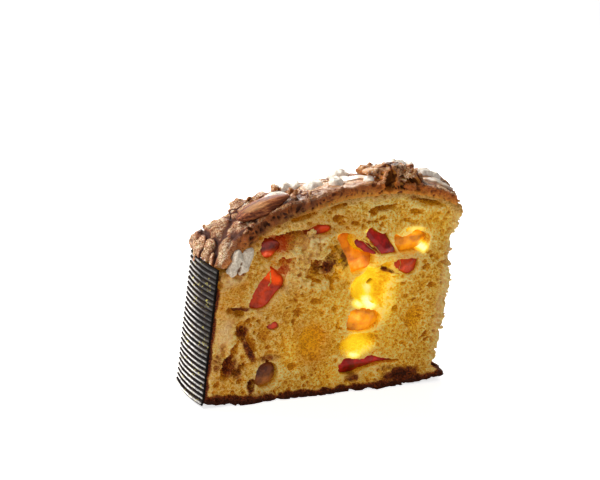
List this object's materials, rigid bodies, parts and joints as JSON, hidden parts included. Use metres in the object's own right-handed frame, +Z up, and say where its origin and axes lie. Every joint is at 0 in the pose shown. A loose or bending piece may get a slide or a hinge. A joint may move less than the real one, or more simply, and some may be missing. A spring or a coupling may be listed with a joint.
{
  "type": "slice of colomba cake",
  "caption": "Upright slice of dove-shaped Easter cake: open yellow crumb with candied fruit, cracked almond glaze with sugar lumps, ribbed paper on the outer end.",
  "frame": {"origin": "middle of the slice's footprint box, on the level its base rests on", "axes": "+X from the paper case to the torn end, +Y from the fruited cut face to the back cut, +Z up"},
  "size_m": [0.1478, 0.0332, 0.1089],
  "materials": {
    "crumb": "open, moist yellow crumb with a dark baked base",
    "glaze": "cracked, dull almond glaze, tan to reddish brown",
    "case_paper": "dark brown ribbed paper with pale rib crests and gold flecks",
    "almond_skin": "satin brown skin with fine lengthwise ridges",
    "candied_cherry": "wet, translucent dark red",
    "candied_orange_pale": "wet, translucent amber",
    "candied_orange_red": "wet, translucent orange red",
    "raisin": "swollen, glossy amber brown",
    "sugar": "opaque white grains",
    "icing": "thin satin white sugar icing"
  },
  "bodies": {
    "root": {"crumb": "crumb", "almond_glaze": "glaze", "paper_case": "case_paper", "almond": "almond_skin", "cherry_peel": "candied_cherry", "cherry_sliver": "candied_cherry", "orange_jelly_right": "candied_orange_pale", "orange_jelly_left": "candied_orange_pale", "orange_dice_right": "candied_orange_red", "orange_dice_left": "candied_orange_red", "orange_dice_high": "candied_orange_red", "orange_chip": "candied_orange_red", "amber_dice": "candied_orange_pale", "soaked_raisin": "raisin", "cherry_strip": "candied_cherry", "orange_bit": "candied_orange_red", "sugar_pair_front": "sugar", "sugar_nib_slope": "sugar", "sugar_nib_left": "sugar", "sugar_nib_edge": "sugar", "sugar_nib_middle": "sugar", "sugar_nib_small": "sugar", "sugar_lump_middle": "sugar", "sugar_lump_crest": "sugar", "sugar_lump_crest_right": "sugar", "sugar_nib_right": "sugar", "sugar_nib_end": "sugar", "icing_patch_middle": "icing", "icing_patch_right": "icing"}
  },
  "joints": []
}
